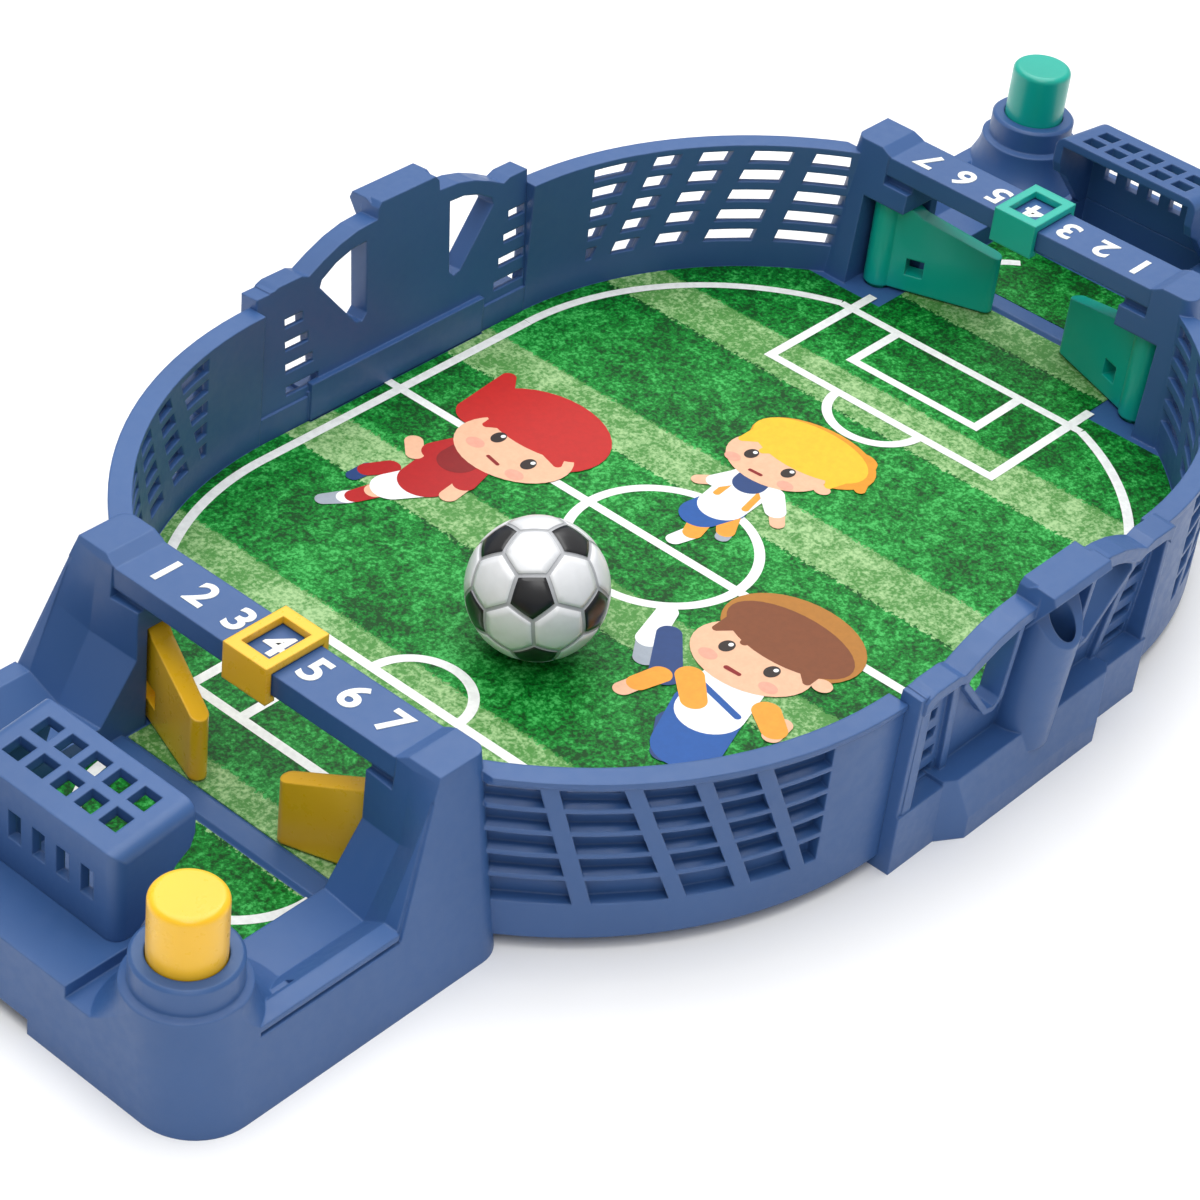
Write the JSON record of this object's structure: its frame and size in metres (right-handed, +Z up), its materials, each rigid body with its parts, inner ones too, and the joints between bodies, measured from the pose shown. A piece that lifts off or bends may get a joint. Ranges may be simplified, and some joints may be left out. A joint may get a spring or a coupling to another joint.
{
  "type": "tabletop football game",
  "caption": "Two-player tabletop football game: an oval fenced pitch with push-button flippers, a goal at each end, sliding score markers and a ball.",
  "frame": {"origin": "centre of the underside, where the end blocks rest on the table", "axes": "+X along the length towards the green end, +Y across the pitch, +Z up"},
  "size_m": [0.361, 0.1826, 0.0502],
  "materials": {
    "blue_plastic": "satin moulded plastic",
    "yellow_plastic": "glossy moulded plastic",
    "green_plastic": "glossy moulded plastic",
    "black_plastic": "matt moulded plastic",
    "printed_grass": "printed card with a light sheen",
    "ball_plastic": "painted hollow plastic ball",
    "steel": "plain drawn steel",
    "screw_steel": "plated steel"
  },
  "bodies": {
    "table": {"frame_half_green": "blue_plastic", "frame_half_yellow": "blue_plastic", "side_bridge_far": "blue_plastic", "side_bridge_near": "blue_plastic", "pitch_sheet": "printed_grass", "goal_sheet_green": "printed_grass", "goal_sheet_yellow": "printed_grass", "goal_green": "blue_plastic", "goal_yellow": "blue_plastic", "bottom_cover_green": "blue_plastic", "bottom_cover_yellow": "blue_plastic", "cover_screws": "screw_steel", "bridge_screws": "screw_steel", "pivot_pin_green_left": "steel", "button_spring_green_left": "steel", "pivot_pin_green_right": "steel", "button_spring_green_right": "steel", "pivot_pin_yellow_left": "steel", "button_spring_yellow_left": "steel", "pivot_pin_yellow_right": "steel", "button_spring_yellow_right": "steel"},
    "button_green_left": {"button_green_left": "green_plastic"},
    "push_slider_green_left": {"push_slider_green_left": "black_plastic"},
    "flipper_green_left": {"flipper_green_left": "green_plastic", "crank_green_left": "green_plastic"},
    "button_green_right": {"button_green_right": "green_plastic"},
    "push_slider_green_right": {"push_slider_green_right": "black_plastic"},
    "flipper_green_right": {"flipper_green_right": "green_plastic", "crank_green_right": "green_plastic"},
    "button_yellow_left": {"button_yellow_left": "yellow_plastic"},
    "push_slider_yellow_left": {"push_slider_yellow_left": "black_plastic"},
    "flipper_yellow_left": {"flipper_yellow_left": "yellow_plastic", "crank_yellow_left": "yellow_plastic"},
    "button_yellow_right": {"button_yellow_right": "yellow_plastic"},
    "push_slider_yellow_right": {"push_slider_yellow_right": "black_plastic"},
    "flipper_yellow_right": {"flipper_yellow_right": "yellow_plastic", "crank_yellow_right": "yellow_plastic"},
    "score_marker_green": {"score_marker_green": "green_plastic"},
    "score_marker_yellow": {"score_marker_yellow": "yellow_plastic"},
    "ball": {"ball": "ball_plastic"}
  },
  "joints": [
    {"name": "button_press_green_left", "type": "slide", "parent": "table", "child": "button_green_left", "axis": [0, 0, 1], "range_m": [-0.006, 0], "stiffness_N_per_m": 200, "springref_m": 0.004, "deforming": ["button_spring_green_left"]},
    {"name": "push_slide_green_left", "type": "slide", "parent": "table", "child": "push_slider_green_left", "axis": [1, 0, 0], "range_m": [-0.006, 0]},
    {"name": "flipper_swing_green_left", "type": "hinge", "parent": "table", "child": "flipper_green_left", "pos_m": [0.112, -0.0353, 0.0075], "axis": [0, 0, -1], "range_deg": [-45, 0]},
    {"name": "button_press_green_right", "type": "slide", "parent": "table", "child": "button_green_right", "axis": [0, 0, 1], "range_m": [-0.006, 0], "stiffness_N_per_m": 200, "springref_m": 0.004, "deforming": ["button_spring_green_right"]},
    {"name": "push_slide_green_right", "type": "slide", "parent": "table", "child": "push_slider_green_right", "axis": [1, 0, 0], "range_m": [-0.006, 0]},
    {"name": "flipper_swing_green_right", "type": "hinge", "parent": "table", "child": "flipper_green_right", "pos_m": [0.112, 0.0353, 0.0075], "axis": [0, 0, 1], "range_deg": [-45, 0]},
    {"name": "button_press_yellow_left", "type": "slide", "parent": "table", "child": "button_yellow_left", "axis": [0, 0, 1], "range_m": [-0.006, 0], "stiffness_N_per_m": 200, "springref_m": 0.004, "deforming": ["button_spring_yellow_left"]},
    {"name": "push_slide_yellow_left", "type": "slide", "parent": "table", "child": "push_slider_yellow_left", "axis": [-1, 0, 0], "range_m": [-0.006, 0]},
    {"name": "flipper_swing_yellow_left", "type": "hinge", "parent": "table", "child": "flipper_yellow_left", "pos_m": [-0.112, 0.0353, 0.0075], "axis": [0, 0, -1], "range_deg": [-45, 0]},
    {"name": "button_press_yellow_right", "type": "slide", "parent": "table", "child": "button_yellow_right", "axis": [0, 0, 1], "range_m": [-0.006, 0], "stiffness_N_per_m": 200, "springref_m": 0.004, "deforming": ["button_spring_yellow_right"]},
    {"name": "push_slide_yellow_right", "type": "slide", "parent": "table", "child": "push_slider_yellow_right", "axis": [-1, 0, 0], "range_m": [-0.006, 0]},
    {"name": "flipper_swing_yellow_right", "type": "hinge", "parent": "table", "child": "flipper_yellow_right", "pos_m": [-0.112, -0.0353, 0.0075], "axis": [0, 0, 1], "range_deg": [-45, 0]},
    {"name": "score_slide_green", "type": "slide", "parent": "table", "child": "score_marker_green", "axis": [0, 1, 0], "range_m": [-0.0282, 0.0282]},
    {"name": "score_slide_yellow", "type": "slide", "parent": "table", "child": "score_marker_yellow", "axis": [0, 1, 0], "range_m": [-0.0282, 0.0282]},
    {"name": "ball_roll", "type": "slide", "parent": "table", "child": "ball", "axis": [1, 0, 0], "range_m": [-0.035, 0.125]}
  ],
  "couplings": [
    {"joint": "push_slide_green_left", "follows": "button_press_green_left", "ratio": 1},
    {"joint": "flipper_swing_green_left", "follows": "button_press_green_left", "rad_per_m": 130.89},
    {"joint": "push_slide_green_right", "follows": "button_press_green_right", "ratio": 1},
    {"joint": "flipper_swing_green_right", "follows": "button_press_green_right", "rad_per_m": 130.89},
    {"joint": "push_slide_yellow_left", "follows": "button_press_yellow_left", "ratio": 1},
    {"joint": "flipper_swing_yellow_left", "follows": "button_press_yellow_left", "rad_per_m": 130.89},
    {"joint": "push_slide_yellow_right", "follows": "button_press_yellow_right", "ratio": 1},
    {"joint": "flipper_swing_yellow_right", "follows": "button_press_yellow_right", "rad_per_m": 130.89}
  ]
}
